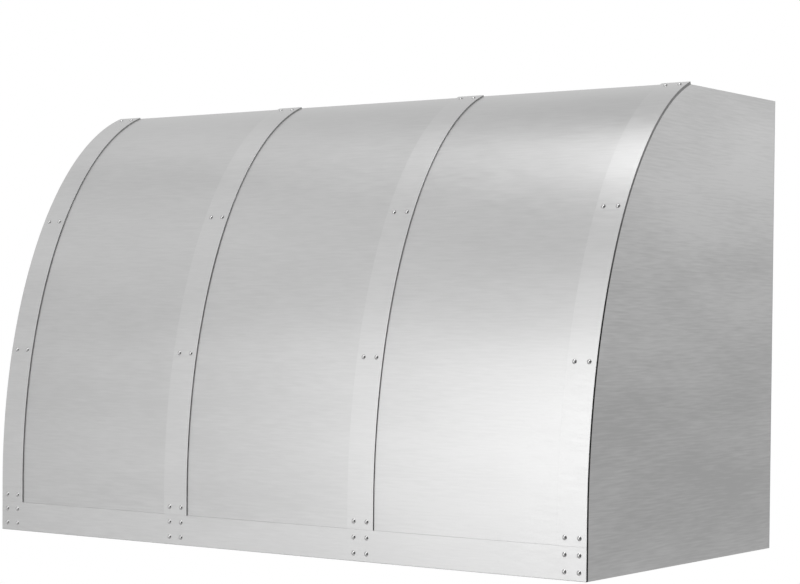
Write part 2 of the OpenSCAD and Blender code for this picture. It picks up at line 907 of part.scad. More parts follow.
// Cable gland through the back panel, flush with the wall plane
module cable_gland() {
    collar_y = -skin_t - blower_t;
    color("dimgray") on_y(jbox_x, jbox_z) difference() {
        union() {
            rod(gland_r, -gland_l, 0);
            rod(gland_r + gland_rim, collar_y - gland_rim_t, collar_y);
            translate([0, 0, gland_nut_end - gland_l])
                cylinder(r = gland_r + gland_nut_rim, h = gland_nut_h, $fn = 6);
        }
        rod(gland_bore_r, -gland_l - cut, cut);
    }
}

// Blower

function scroll_radius(a) =
    scroll_big_r - (scroll_big_r - scroll_small_r) * (a - scroll_first_a) / (scroll_last_a - scroll_first_a);

function scroll_outline(g, top) = concat(
    [for (a = [scroll_first_a:12:scroll_last_a - 1]) (scroll_radius(a) + g) * [cos(a), sin(a)]],
    [
        [scroll_back_y + g, scroll_cut_z], [scroll_back_y + g, top],
        [-scroll_big_r - g, top]
    ]);

module scroll_shape(g, top) {
    translate([blower_y, blower_z]) polygon(scroll_outline(g, top));
}

// Fan housings: a spiral wall between two side plates, open upwards into the outlet box
module scroll_housings() {
    color("gainsboro") mirrored() difference() {
        across(scroll_in_x, scroll_out_x) scroll_shape(blower_t, blower_drop);
        across(scroll_in_x + blower_t, scroll_out_x - blower_t) scroll_shape(0, blower_drop + cut);
        on_x(blower_y, blower_z) rod(inlet_r, scroll_out_x - 2 * blower_t, scroll_out_x + cut);
        on_x(blower_y, blower_z) rod(hub_r + hub_room, scroll_in_x - cut, scroll_in_x + 2 * blower_t);
    }
}

// Rounded rings that guide the air into the wheels
module inlet_rings() {
    color("silver") mirrored() on_x(blower_y, blower_z)
        translate([0, 0, scroll_out_x]) rotate_extrude()
            difference() {
                translate([inlet_r + inlet_ring_r, 0]) circle(r = inlet_ring_r);
                translate([inlet_r + inlet_ring_r, 0]) circle(r = inlet_ring_r - inlet_ring_t);
                translate([0, -inlet_ring_r]) square([2 * inlet_r, inlet_ring_r]);
            }
}

module outlet_box() {
    color("gainsboro") difference() {
        box(-box_half_w, box_half_w, box_front_y, box_back_y, outlet_z, collar_z);
        box(blower_t - box_half_w, box_half_w - blower_t, box_front_y + blower_t, box_back_y - blower_t,
            outlet_z + blower_t, collar_z - blower_t);
        mirrored() box(scroll_in_x + blower_t, scroll_out_x - blower_t,
            blower_y - scroll_big_r, blower_y + scroll_back_y, outlet_z - cut, outlet_z + 2 * blower_t);
        translate([0, duct_y, 0]) rod(duct_r - blower_t, collar_z - 2 * blower_t, collar_z + cut);
    }
}

// Round collar with its base flange and the seat ring for the damper
module duct_collar() {
    seat_top = damper_z - flap_t / 2 - seat_gap;
    color("silver") difference() {
        translate([0, duct_y, 0]) {
            tube(duct_r, duct_r - blower_t, collar_z, collar_top_z);
            tube(collar_flange_r, duct_r - blower_t, collar_z, collar_z + blower_t);
            tube(duct_r - blower_t / 2, flap_r - seat_w, seat_top - blower_t, seat_top);
        }
        on_y(0, damper_z) rod(damper_pin_r + run_gap, duct_y - duct_r - cut, duct_y + duct_r + cut);
    }
}

module damper_pin() {
    color("dimgray") on_y(0, damper_z) rod(damper_pin_r, duct_y - duct_r, duct_y + duct_r);
}

// Half-round flap with two knuckles on the pin; first is the place of its first knuckle
module damper_flap(first) {
    gap = knuckle_r + knuckle_gap;
    color("silver") difference() {
        union() {
            intersection() {
                translate([0, duct_y, 0]) rod(flap_r, damper_z - flap_t / 2, damper_z + flap_t / 2);
                box(gap, duct_r, duct_y - duct_r, duct_y + duct_r, damper_z - flap_t, damper_z + flap_t);
            }
            for (k = [0, 1]) {
                y = duct_y + first + k * knuckle_step;
                on_y(0, damper_z) rod(knuckle_r, y, y + knuckle_l);
                box(0, gap + 1, y, y + knuckle_l, damper_z - flap_t / 2, damper_z + flap_t / 2);
            }
        }
        on_y(0, damper_z) rod(damper_pin_r + run_gap, duct_y - duct_r, duct_y + duct_r);
    }
}

module right_damper_flap() {
    damper_flap(-knuckle_far);
}

module left_damper_flap() {
    mirror([1, 0, 0]) damper_flap(knuckle_far - knuckle_l - knuckle_step);
}

// Bent bars that hang the outlet box from the top panel
module blower_hangers() {
    color("gainsboro") mirrored()
        for (y = [duct_y - hanger_y, duct_y + hanger_y]) {
            path = [
                [hanger_x + hanger_foot, collar_z], [hanger_x, collar_z],
                [hanger_x, top_under_z], [hanger_x + hanger_foot, top_under_z]
            ];
            along(y - hanger_w / 2, y + hanger_w / 2) polygon(bent(path, -hanger_sheet));
        }
}

module motor_capacitor() {
    top = collar_z + can_h;
    color("silver") translate([can_in - hanger_x, duct_y - can_shift, 0]) {
        rod(can_r, collar_z, top);
        for (x = [-can_r / 3, can_r / 3])
            box(x - terminal_w, x + terminal_w, -terminal_t / 2, terminal_t / 2, top - cut, top + can_tag_h);
    }
}

module motor_housing() {
    wall = motor_wall;
    color("dimgray") on_x(blower_y, blower_z) difference() {
        union() {
            rod(motor_r, -motor_half, motor_half);
            for (s = [-1, 1]) translate([0, 0, s * motor_half])
                rod(hub_r + motor_boss_rim, -motor_boss, motor_boss);
        }
        rod(motor_r - wall, wall - motor_half, motor_half - wall);
        rod(bearing_r + push_gap, -motor_half - motor_boss - cut, motor_half + motor_boss + cut);
        for (s = [-1, 1], a = [0:45:315]) rotate([0, 0, a])
            translate([motor_r * 0.6, 0, s * motor_half]) rod(motor_r / 12, -wall - cut, wall + cut);
    }
}

// Ring of laminations with its windings at both ends
module motor_stator() {
    out_r = motor_r - motor_wall - push_gap;
    end = core_half + winding_end;
    color("peru") on_x(blower_y, blower_z) {
        tube(out_r, core_r + core_gap, -core_half, core_half);
        tube(out_r - winding_inset, core_r + winding_inset, -end, end);
    }
}

module motor_bearings() {
    color("silver") on_x(blower_y, blower_z)
        for (s = [-1, 1]) translate([0, 0, s * (motor_half - bearing_l / 2 + motor_boss)])
            tube(bearing_r, shaft_r + run_gap, -bearing_l / 2, bearing_l / 2);
}

// Saddle between the fan housings that carries the motor
module motor_cradle() {
    half = scroll_in_x;
    low = blower_z - motor_r - cradle_drop;
    y0 = blower_y - cradle_half;
    y1 = blower_y + cradle_half;
    color("gainsboro") difference() {
        union() {
            box(-half, half, y0, y1, low, low + cradle_t);
            mirrored() box(half - cradle_t, half, y0, y1, low - cradle_tab, low + cradle_t);
            mirrored() box(cradle_rib_x, cradle_rib_x + cradle_rib_t, y0, y1, low + cradle_t / 2,
                blower_z - cradle_rib_low);
        }
        on_x(blower_y, blower_z) rod(motor_r + push_gap, -half, half);
    }
}

module motor_rotor() {
    color("slategray") on_x(blower_y, blower_z) tube(core_r, shaft_r + push_gap, -core_half, core_half);
}

module motor_shaft() {
    reach = wheel_in_x + hub_l - wheel_plate;
    color("silver") on_x(blower_y, blower_z) rod(shaft_r, -reach, reach);
}

// Squirrel-cage wheel: hub plate on the motor side, blades, and a rim at the inlet
module fan_wheel() {
    blade_end = wheel_w - wheel_rim + cut;
    color("silver") on_x(blower_y, blower_z) translate([0, 0, wheel_in_x]) difference() {
        union() {
            rod(wheel_r - cut, 0, wheel_plate);
            rod(hub_r, 0, hub_l);
            tube(wheel_r, inlet_r + cut, wheel_w - wheel_rim, wheel_w);
            for (i = [0:wheel_blades - 1]) rotate([0, 0, i * 360 / wheel_blades])
                translate([wheel_r - blade_in, 0, 0])
                    rotate([0, 0, blade_lean])
                        box(-blade_chord / 2, blade_chord / 2, 0, blade_t, wheel_plate - cut, blade_end);
        }
        rod(shaft_r + push_gap, -cut, hub_l + cut);
    }
}

module right_fan_wheel() {
    fan_wheel();
}

module left_fan_wheel() {
    mirror([1, 0, 0]) fan_wheel();
}

// Grease cup that slides sideways off its rails
module grease_cup() {
    half = cup_l / 2;
    y0 = rail_y[0] + rail_lip + cup_rail_room;
    y1 = rail_y[1] - rail_lip - cup_rail_room;
    rim_y0 = rail_y[0] + rail_t + rail_room;
    rim_y1 = rail_y[1] - rail_t - rail_room;
    ledge_z = trough_z - rail_drop + rail_t + seat_gap;
    color("silver") difference() {
        union() {
            box(-half, half, y0, y1, cup_low_z, trough_z - cup_rim_drop);
            box(-half, half, rim_y0, rim_y1, ledge_z, ledge_z + cup_t);
            box(half - cup_t, half + cup_tab, y0 + cup_tab_in, y1 - cup_tab_in, cup_low_z + cup_tab_z,
                cup_low_z + cup_tab_z + cup_tab_t);
        }
        box(cup_t - half, half - cup_t, y0 + cup_t, y1 - cup_t, cup_low_z + cup_t, trough_z);
    }
}

// Filters, drawn flat about their pivot line and then tipped up towards the front

module in_filter(k) {
    translate([(k + 0.5) * filter_pitch - bank_half, pivot_y, pivot_z])
        rotate([-filter_slope, 0, 0]) children();
}

module filter_frame(k) {
    half = filter_w / 2;
    thick = filter_t / 2;
    s = filter_sheet;
    color("silver") in_filter(k) {
        difference() {
            box(-half, half, -filter_nose, filter_tail, -thick, thick);
            box(s - half, half - s, s - filter_nose, filter_tail - s, s - thick, thick - s);
            box(filter_leg - half, half - filter_leg, filter_leg - filter_nose, filter_tail - filter_leg,
                -thick - cut, thick + cut);
        }
        mirrored() on_x(0, 0) rod(filter_pin_r, half - s / 2, half + filter_pin_l);
    }
}

// Two staggered rows of channels: the lower row opens upwards, the upper row downwards
module filter_baffles(k) {
    count = floor((filter_w - 2 * filter_sheet) / baffle_pitch);
    low = filter_sheet + fit_gap - filter_t / 2;
    trough = [[-baffle_w / 2, baffle_h], [-baffle_w / 2, 0], [baffle_w / 2, 0], [baffle_w / 2, baffle_h]];
    front = filter_sheet + fit_gap - filter_nose;
    back = filter_tail - filter_sheet - fit_gap;
    color("gainsboro") in_filter(k) {
        for (i = [0:count - 1]) translate([(i - (count - 1) / 2) * baffle_pitch, 0, low])
            along(front, back) polygon(bent(trough, baffle_sheet));
        for (i = [0:count - 2]) translate([(i - (count - 2) / 2) * baffle_pitch, 0, -low])
            mirror([0, 0, 1]) along(front, back) polygon(bent(trough, baffle_sheet));
    }
}

// Wire bail under the front end of a filter
module filter_handle(k) {
    y = filter_leg / 2 - filter_nose;
    low = -filter_t / 2 - handle_rise;
    color("silver") in_filter(k) translate([0, y, 0]) {
        on_x(0, low) rod(handle_r, -handle_w / 2, handle_w / 2);
        for (x = [-handle_w / 2, handle_w / 2]) translate([x, 0, 0]) {
            rod(handle_r, low, -filter_t / 2);
            translate([0, 0, low]) sphere(r = handle_r);
        }
    }
}

front_skin();
left_side_panel();
right_side_panel();
top_panel();
back_panel();
bottom_band();
strap(0);  // strap_1
strap(1);  // strap_2
strap(2);  // strap_3
strap(3);  // strap_4
strap_rivets();
control_panel();
liner_sides();
grease_trough();
filter_hangers();
filter_clips();
sheet_screws();
lamp_bezels();
lamp_lenses();
lamp_modules();
fan_switch();
light_dimmer();
switch_nuts();
control_housing();
control_board();
junction_box();
junction_cover();
cable_gland();
motor_capacitor();
scroll_housings();
inlet_rings();
outlet_box();
duct_collar();
damper_pin();
blower_hangers();
motor_housing();
motor_stator();
motor_bearings();
motor_cradle();
motor_rotor();
motor_shaft();
left_fan_wheel();
right_fan_wheel();
left_damper_flap();
right_damper_flap();
fan_knob();
fan_spindle();
light_knob();
light_spindle();
grease_cup();
filter_frame(0);  // filter_1_frame
filter_baffles(0);  // filter_1_baffles
filter_handle(0);  // filter_1_handle
filter_frame(1);  // filter_2_frame
filter_baffles(1);  // filter_2_baffles
filter_handle(1);  // filter_2_handle
filter_frame(2);  // filter_3_frame
filter_baffles(2);  // filter_3_baffles
filter_handle(2);  // filter_3_handle
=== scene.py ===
# Looks of the wall range hood: brushed steel shell, riveted straps, filters, lamps and blower.
import json
import math

import bmesh
import bpy
from mathutils import Matrix, Vector

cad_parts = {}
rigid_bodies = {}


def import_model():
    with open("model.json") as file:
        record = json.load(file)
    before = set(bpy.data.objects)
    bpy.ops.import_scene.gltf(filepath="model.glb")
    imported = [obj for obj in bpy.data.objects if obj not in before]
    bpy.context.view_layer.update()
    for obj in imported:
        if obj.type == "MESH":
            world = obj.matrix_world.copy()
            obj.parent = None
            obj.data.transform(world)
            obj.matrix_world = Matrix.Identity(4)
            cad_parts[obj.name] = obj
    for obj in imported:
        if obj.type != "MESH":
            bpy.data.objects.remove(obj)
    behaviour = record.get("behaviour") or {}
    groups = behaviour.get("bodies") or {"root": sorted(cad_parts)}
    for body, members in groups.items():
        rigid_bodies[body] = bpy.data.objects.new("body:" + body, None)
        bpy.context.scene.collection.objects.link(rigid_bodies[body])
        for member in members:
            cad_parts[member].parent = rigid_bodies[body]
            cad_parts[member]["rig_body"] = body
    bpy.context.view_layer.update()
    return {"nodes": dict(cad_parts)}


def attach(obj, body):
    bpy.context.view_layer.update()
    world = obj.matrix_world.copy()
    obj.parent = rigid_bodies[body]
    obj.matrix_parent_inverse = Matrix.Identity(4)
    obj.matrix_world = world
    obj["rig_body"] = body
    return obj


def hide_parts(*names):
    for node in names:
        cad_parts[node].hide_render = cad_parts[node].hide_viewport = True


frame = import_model()
nodes = frame["nodes"]

mm = 0.001

# Sizes of the shell in millimetres, as in the construction, apart from the straps' step: the real
# 3.2 mm bar would draw a wider line along each strap than the photo shows
shell = {
    "width": 1219.2,
    "depth": 609.6,
    "height": 762.0,
    "topDepth": 304.8,
    "skirt": 88.9,  # height of the straight foot, where the curve starts
    "sweep": math.radians(77.9),  # the part of a quarter ellipse that the front follows
    "skin": 1.5,
    "bend": 20.0,
    "strap": 50.8,
    "strapThick": 2.0,
    "skinBack": 4.675,  # from the straps' outer face to the skin's inner face
    "band": 50.8,
    "bandCut": 0.5,
    "bays": 3,
    "curveSteps": 120,
    "columns": 12,
    "deburred": 0.2,
}
shell["rise"] = (shell["height"] - shell["skirt"]) / math.sin(shell["sweep"])
shell["reach"] = (shell["depth"] - shell["topDepth"]) / (1 - math.cos(shell["sweep"]))
halfWidth = shell["width"] / 2
strapPitch = (shell["width"] - shell["strap"]) / shell["bays"]
firstMiddle = (shell["strap"] - shell["width"]) / 2
strapMiddles = [firstMiddle + k * strapPitch for k in range(shell["bays"] + 1)]


# Camera, solved from the straight edges and rivets of the photo

camera = {
    "photoWidth": 800,
    "photoHeight": 584,
    "focalPixels": 2116.12,
    "centreX": 392.02,
    "centreY": 380.00,
    "place": (2.18844, -3.28898, 0.38365),
    "right": (0.81074278, 0.58534517, 0.00819683),
    "down": (0.02342290, -0.01844511, -0.99955547),
    "forward": (-0.58493378, 0.81057437, -0.02866472),
    "sensor": 36.0,
    "farthest": 50.0,
}


def addCamera():
    data = bpy.data.cameras.new("photoCamera")
    data.sensor_fit = "HORIZONTAL"
    data.sensor_width = camera["sensor"]
    data.lens = camera["focalPixels"] / camera["photoWidth"] * camera["sensor"]
    data.shift_x = (camera["photoWidth"] / 2 - camera["centreX"]) / camera["photoWidth"]
    data.shift_y = (camera["centreY"] - camera["photoHeight"] / 2) / camera["photoWidth"]
    data.clip_end = camera["farthest"]
    made = bpy.data.objects.new("photoCamera", data)
    right = Vector(camera["right"])
    up = -Vector(camera["down"])
    back = -Vector(camera["forward"])
    turn = Matrix((right, up, back)).transposed().to_4x4()
    made.matrix_world = Matrix.Translation(camera["place"]) @ turn
    bpy.context.scene.collection.objects.link(made)
    bpy.context.scene.camera = made


addCamera()
print("camera placed")


# Materials

def linear(hexColour):
    parts = [int(hexColour[i:i + 2], 16) / 255 for i in (1, 3, 5)]
    curve = [p / 12.92 if p <= 0.04045 else ((p + 0.055) / 1.055) ** 2.4 for p in parts]
    return (*curve, 1.0)


def addNode(tree, kind, inputs=None, **settings):
    made = tree.nodes.new(kind)
    for key, value in settings.items():
        setattr(made, key, value)
    for key, value in (inputs or {}).items():
        socket = made.inputs[key]
        if isinstance(value, bpy.types.NodeSocket):
            tree.links.new(value, socket)
        else:
            socket.default_value = value
    return made


def newMaterial(name):
    made = bpy.data.materials.new(name)
    made.use_nodes = True
    made.node_tree.nodes.clear()
    return made, made.node_tree


def finishMaterial(tree, surface):
    addNode(tree, "ShaderNodeOutputMaterial", {"Surface": surface})


# Noise whose marks have the given sizes along X, Y and Z, in millimetres
def sizedNoise(tree, sizes, detail=2.0):
    place = addNode(tree, "ShaderNodeTexCoord").outputs["Object"]
    scale = [1 / (size * mm) for size in sizes]
    mapped = addNode(tree, "ShaderNodeMapping", {"Vector": place, "Scale": scale})
    return addNode(tree, "ShaderNodeTexNoise", {
        "Vector": mapped.outputs["Vector"], "Scale": 1.0, "Detail": detail, "Roughness": 0.5,
    }).outputs["Fac"]


def ramp(tree, factor, low, high, start=0.3, end=0.7):
    made = addNode(tree, "ShaderNodeValToRGB", {"Fac": factor})
    made.color_ramp.elements[0].position = start
    made.color_ramp.elements[0].color = low
    made.color_ramp.elements[1].position = end
    made.color_ramp.elements[1].color = high
    return made.outputs["Color"]


def spread(tree, factor, low, high):
    return addNode(tree, "ShaderNodeMapRange", {
        "Value": factor, "From Min": 0.25, "From Max": 0.75, "To Min": low, "To Max": high,
    }).outputs["Result"]


def grey(level):
    return (level, level, level, 1.0)


# Marks of the brushing, across and along it in millimetres. A real hairline is about 0.1 mm wide,
# but a pixel covers 1.7 mm of the hood, so all of them are drawn as coarse as they need to show
brushing = {
    "hairWidth": 0.6667,
    "hairLength": 16.667,
    "streakWidth": 3.0303,
    "streakLength": (35.714, 50.0),  # on sheets brushed along X, and along Y
    "cloudWidth": 111.11,
    "cloudLength": 400.0,
    "scratchDepth": 0.04,
}


# Brushed stainless steel: fine hairlines run along the sheet and catch the light one by one, and
# wide faint bands between them keep a large sheet from looking flat
def brushedSteel(name, axis, dark, light, rough, tangent=False, anisotropy=0.0):
    made, tree = newMaterial(name)
    hairs = [brushing["hairWidth"]] * 3
    hairs[axis] = brushing["hairLength"]
    streaks = [brushing["streakWidth"]] * 3
    streaks[axis] = brushing["streakLength"][axis]
    clouds = [brushing["cloudWidth"]] * 3
    clouds[axis] = brushing["cloudLength"]
    hair = sizedNoise(tree, hairs, 1.0)
    streak = sizedNoise(tree, streaks)
    cloud = sizedNoise(tree, clouds)
    both = addNode(tree, "ShaderNodeMix", {
        "Factor": 0.5, "A": streak, "B": cloud,
    }, data_type="FLOAT").outputs["Result"]
    tone = ramp(tree, both, linear(dark), linear(light), 0.36, 0.64)
    gloss = spread(tree, streak, rough - 0.03, rough + 0.03)
    bump = addNode(tree, "ShaderNodeBump", {
        "Strength": 0.12, "Distance": brushing["scratchDepth"] * mm, "Height": hair,
    })
    inputs = {
        "Base Color": tone, "Metallic": 1.0, "Roughness": gloss, "Normal": bump.outputs["Normal"],
        "Anisotropic": anisotropy,
    }
    if tangent:
        along = addNode(tree, "ShaderNodeTangent", direction_type="UV_MAP")
        inputs["Tangent"] = along.outputs["Tangent"]
    finishMaterial(tree, addNode(tree, "ShaderNodeBsdfPrincipled", inputs).outputs["BSDF"])
    return made


# Metal without a grain: faint blotches of tone and gloss, as on drawn, turned, sheared or cast
# parts. The blotch is in millimetres, and the pits are a twelfth of it
def plainMetal(name, dark, light, rough, blotchSize=16.667, bumpStrength=0.1):
    made, tree = newMaterial(name)
    blotch = sizedNoise(tree, [blotchSize] * 3, 3.0)
    pits = sizedNoise(tree, [blotchSize / 12] * 3)
    bump = addNode(tree, "ShaderNodeBump", {
        "Strength": bumpStrength, "Distance": 0.05 * mm, "Height": pits,
    })
    finishMaterial(tree, addNode(tree, "ShaderNodeBsdfPrincipled", {
        "Base Color": ramp(tree, blotch, linear(dark), linear(light)), "Metallic": 1.0,
        "Roughness": spread(tree, blotch, rough * 0.85, rough * 1.15),
        "Normal": bump.outputs["Normal"],
    }).outputs["BSDF"])
    return made


# Sheared edge of the last bar and skin, painted with shade: a near-black shadow line in the joint
# that thins out towards the top
def paintedShadeSteel(name, low, high, lowZ, highZ):
    made, tree = newMaterial(name)
    place = addNode(tree, "ShaderNodeTexCoord").outputs["Object"]
    height = addNode(tree, "ShaderNodeSeparateXYZ", {"Vector": place}).outputs["Z"]
    climb = addNode(tree, "ShaderNodeMapRange", {
        "Value": height, "From Min": lowZ, "From Max": highZ,
    }).outputs["Result"]
    patch = sizedNoise(tree, [11.111] * 3)
    uneven = addNode(tree, "ShaderNodeMath", {0: patch, 1: -0.5}, operation="ADD").outputs["Value"]
    # Painted shade: near black below the low height, fading to grey by the high one, with a faint
    # random patchiness
    paintedShadow = addNode(tree, "ShaderNodeMath", {
        0: uneven, 1: 0.3, 2: climb,
    }, operation="MULTIPLY_ADD").outputs["Value"]
    finishMaterial(tree, addNode(tree, "ShaderNodeBsdfPrincipled", {
        "Base Color": ramp(tree, paintedShadow, linear(low), linear(high), 0.0, 1.0), "Metallic": 1.0,
        "Roughness": spread(tree, patch, 0.42, 0.58),
    }).outputs["BSDF"])
    return made


# Hot-dip zinc: crystals about 9 mm wide, each with its own grey and gloss
def zincSheet(name, dark, light, crystalSize=9.0909):
    made, tree = newMaterial(name)
    place = addNode(tree, "ShaderNodeTexCoord").outputs["Object"]
    crystal = addNode(tree, "ShaderNodeTexVoronoi", {
        "Vector": place, "Scale": 1 / (crystalSize * mm),
    }, feature="F1")
    shade = addNode(tree, "ShaderNodeSeparateColor", {
        "Color": crystal.outputs["Color"],
    }).outputs["Red"]
    finishMaterial(tree, addNode(tree, "ShaderNodeBsdfPrincipled", {
        "Base Color": ramp(tree, shade, linear(dark), linear(light), 0.0, 1.0), "Metallic": 1.0,
        "Roughness": spread(tree, shade, 0.4, 0.48),
    }).outputs["BSDF"])
    return made


# Moulded plastic and sprayed coats: a fine grain, its size in millimetres, breaks up the gloss
def mouldedPlastic(name, dark, light, rough, grainSize=0.5556):
    made, tree = newMaterial(name)
    grain = sizedNoise(tree, [grainSize] * 3)
    patch = sizedNoise(tree, [25.0] * 3)
    bump = addNode(tree, "ShaderNodeBump", {
        "Strength": 0.3, "Distance": 0.08 * mm, "Height": grain,
    })
    finishMaterial(tree, addNode(tree, "ShaderNodeBsdfPrincipled", {
        "Base Color": ramp(tree, patch, linear(dark), linear(light)),
        "Roughness": spread(tree, patch, rough - 0.05, rough + 0.05),
        "Normal": bump.outputs["Normal"],
    }).outputs["BSDF"])
    return made


# Frosted lamp glass: a milky disc with a fine dimpled surface that scatters the lamp behind it
def frostedGlass(name):
    made, tree = newMaterial(name)
    dimple = sizedNoise(tree, [1.1111] * 3, 1.0)
    bump = addNode(tree, "ShaderNodeBump", {
        "Strength": 0.5, "Distance": 0.2 * mm, "Height": dimple,
    })
    finishMaterial(tree, addNode(tree, "ShaderNodeBsdfPrincipled", {
        "Base Color": ramp(tree, dimple, linear("#e4e6e4"), linear("#f4f5f2")),
        "Roughness": spread(tree, dimple, 0.25, 0.4), "Transmission Weight": 0.35,
        "Normal": bump.outputs["Normal"],
    }).outputs["BSDF"])
    return made


# Enamelled copper windings: fine parallel wires around the core. The wave texture draws a tenth of
# pi of a unit for each wire
def woundCopper(name, wireSize=1.2566):
    made, tree = newMaterial(name)
    place = addNode(tree, "ShaderNodeTexCoord").outputs["Object"]
    wires = addNode(tree, "ShaderNodeTexWave", {
        "Vector": place, "Scale": math.pi / 10 / (wireSize * mm), "Distortion": 1.5,
    }, bands_direction="Y").outputs["Fac"]
    bump = addNode(tree, "ShaderNodeBump", {
        "Strength": 0.6, "Distance": 0.4 * mm, "Height": wires,
    })
    finishMaterial(tree, addNode(tree, "ShaderNodeBsdfPrincipled", {
        "Base Color": ramp(tree, wires, linear("#5c2f16"), linear("#b0683a"), 0.1, 0.9),
        "Metallic": 0.6, "Roughness": 0.4, "Normal": bump.outputs["Normal"],
    }).outputs["BSDF"])
    return made


# The metals by finish. Greys are neutral, as the steel in the photo is
steel = {
    # Brushed along X, with the shine drawn out across the grain, so lamps smear over a bay
    "front": brushedSteel("brushedFront", 0, "#c0c0c0", "#c8c8c8", 0.34, True, 0.55),
    "strap": brushedSteel("brushedStrap", 0, "#c5c5c5", "#cccccc", 0.36, True, 0.55),
    # Brushed from front to back: duller, with more contrast between its streaks
    "side": brushedSteel("brushedSide", 1, "#b3b3b3", "#c7c7c7", 0.38),
    # Sheared edges: torn, pitted and dull
    "edge": plainMetal("shearedEdge", "#b2b2b2", "#c0c0c0", 0.5, 11.111, 0.3),
    # Painted shade for the last bar's sides, the skin's ends and bend and the bottom bar's lower
    # edges: a near-black shadow line that fades to grey higher up
    "seam": paintedShadeSteel("paintedShadowSeam", "#0a0a0a", "#8a8a8a", 0.385, 0.66),
    # Sheets and filters inside, out of brushed coil: a little glossier than the shell
    "liner": brushedSteel("brushedLiner", 0, "#b6b6b6", "#c8c8c8", 0.34),
    "filter": brushedSteel("brushedFilter", 1, "#b4b4b4", "#cbcbcb", 0.3),
    # Turned and polished: each head is a small mirror of the room
    "rivet": plainMetal("turnedRivet", "#b8b8b8", "#c4c4c4", 0.06, bumpStrength=0.02),
    # Plated screws, bezels and shafts: smooth and pale
    "bright": plainMetal("brightSteel", "#b8b8b8", "#cfcfcf", 0.22),
    # Hardened spring steel: darker, with a soft gloss
    "spring": plainMetal("springSteel", "#707174", "#8d8e91", 0.32),
    # Cast aluminium: pitted and matt
    "cast": plainMetal("castAluminium", "#8f9092", "#a9aaac", 0.5, 7.1429, 0.4),
    # Drawn aluminium: smooth and pale
    "can": plainMetal("drawnAluminium", "#bfc0c1", "#d3d4d5", 0.25),
}
zinc = zincSheet("zincSheet", "#a6aaac", "#bcc0c2")
blackPlastic = mouldedPlastic("blackPlastic", "#161617", "#1e1e20", 0.42)
switchPlastic = mouldedPlastic("switchPlastic", "#26272a", "#303236", 0.5)
boardLacquer = mouldedPlastic("boardLacquer", "#0f4a26", "#176334", 0.35, 2.0)
motorPaint = mouldedPlastic("motorPaint", "#2c2e31", "#3a3d41", 0.38, 1.4286)
lampGlass = frostedGlass("frostedGlass")
copper = woundCopper("woundCopper")

nodeMaterials = {
    "left_side_panel": steel["side"], "right_side_panel": steel["side"], "top_panel": zinc,
    "back_panel": zinc, "control_panel": steel["liner"], "liner_sides": steel["filter"],
    "grease_trough": steel["liner"], "filter_hangers": steel["liner"],
    "filter_clips": steel["spring"], "sheet_screws": steel["bright"],
    "lamp_bezels": steel["bright"], "lamp_lenses": lampGlass,
    "lamp_modules": steel["cast"], "fan_switch": switchPlastic, "light_dimmer": switchPlastic,
    "switch_nuts": steel["bright"], "control_housing": zinc, "control_board": boardLacquer,
    "junction_box": zinc, "junction_cover": zinc, "cable_gland": switchPlastic,
    "motor_capacitor": steel["can"], "scroll_housings": zinc, "inlet_rings": zinc,
    "outlet_box": zinc, "duct_collar": zinc, "damper_pin": steel["spring"], "blower_hangers": zinc,
    "motor_housing": motorPaint, "motor_stator": copper, "motor_bearings": steel["bright"],
    "motor_cradle": zinc, "motor_rotor": steel["cast"], "motor_shaft": steel["bright"],
    "left_fan_wheel": zinc, "right_fan_wheel": zinc, "left_damper_flap": zinc,
    "right_damper_flap": zinc, "fan_knob": blackPlastic, "light_knob": blackPlastic,
    "fan_spindle": steel["bright"], "light_spindle": steel["bright"], "grease_cup": steel["liner"],
    "front_skin": steel["front"], "bottom_band": steel["strap"], "strap_rivets": steel["rivet"],
}
for index in range(1, 5):
    nodeMaterials[f"strap_{index}"] = steel["strap"]
for index in range(1, 4):
    for piece in ("frame", "baffles", "handle"):
        nodeMaterials[f"filter_{index}_{piece}"] = steel["filter"]

for name, made in nodeMaterials.items():
    data = nodes[name].data
    data.materials.clear()
    data.materials.append(made)
print("materials on", len(nodeMaterials), "nodes")


# Outline of the curved front, with an inward offset, in millimetres

def curvePoint(angle, inward):
    run = shell["reach"] * math.sin(angle)
    climb = shell["rise"] * math.cos(angle)
    speed = math.hypot(run, climb)
    y = shell["reach"] * (1 - math.cos(angle)) - shell["depth"]
    z = shell["skirt"] + shell["rise"] * math.sin(angle)
    return y + inward * climb / speed, z - inward * run / speed


def frontLine(inward, foot):
    steps = shell["curveSteps"]
    line = [(inward - shell["depth"], foot)]
    line += [curvePoint(shell["sweep"] * i / steps, inward) for i in range(steps + 1)]
    return line


# Sweeps a side outline along X. Its UV map runs along X and along the outline, for the brushed
# grain. Material 0 is on the faces, and material 1 on both ends and on the sheared edge steps
def sweptSheet(bm, outline, left, right, columns=1, edgeSteps=()):
    grain = bm.loops.layers.uv.verify()
    stations = [left + (right - left) * c / columns for c in range(columns + 1)]
    rings = [[bm.verts.new((x * mm, y * mm, z * mm)) for y, z in outline] for x in stations]
    lengths = [0.0]
    for here, there in zip(outline, outline[1:] + outline[:1]):
        lengths.append(lengths[-1] + math.dist(here, there))
    count = len(outline)
    for c in range(columns):
        for i in range(count):
            j = (i + 1) % count
            face = bm.faces.new((rings[c][i], rings[c][j], rings[c + 1][j], rings[c + 1][i]))
            face.material_index = 1 if i in edgeSteps else 0
            corners = ((c, i), (c, i + 1), (c + 1, i + 1), (c + 1, i))
            for loop, (station, step) in zip(face.loops, corners):
                loop[grain].uv = (stations[station] * mm, lengths[step] * mm)
    for ring, flip in ((rings[0], True), (rings[-1], False)):
        half = count // 2
        for i in range(half - 1):
            quad = [ring[i], ring[i + 1], ring[count - 2 - i], ring[count - 1 - i]]
            face = bm.faces.new(quad if not flip else quad[::-1])
            face.material_index = 1
            for loop in face.loops:
                loop[grain].uv = (loop.vert.co.y, loop.vert.co.z)


def bandOutline(outer, inner, foot):
    return frontLine(outer, foot) + frontLine(inner, foot)[::-1]


bevelled = {"segments": 2, "sharperThan": 50.0}


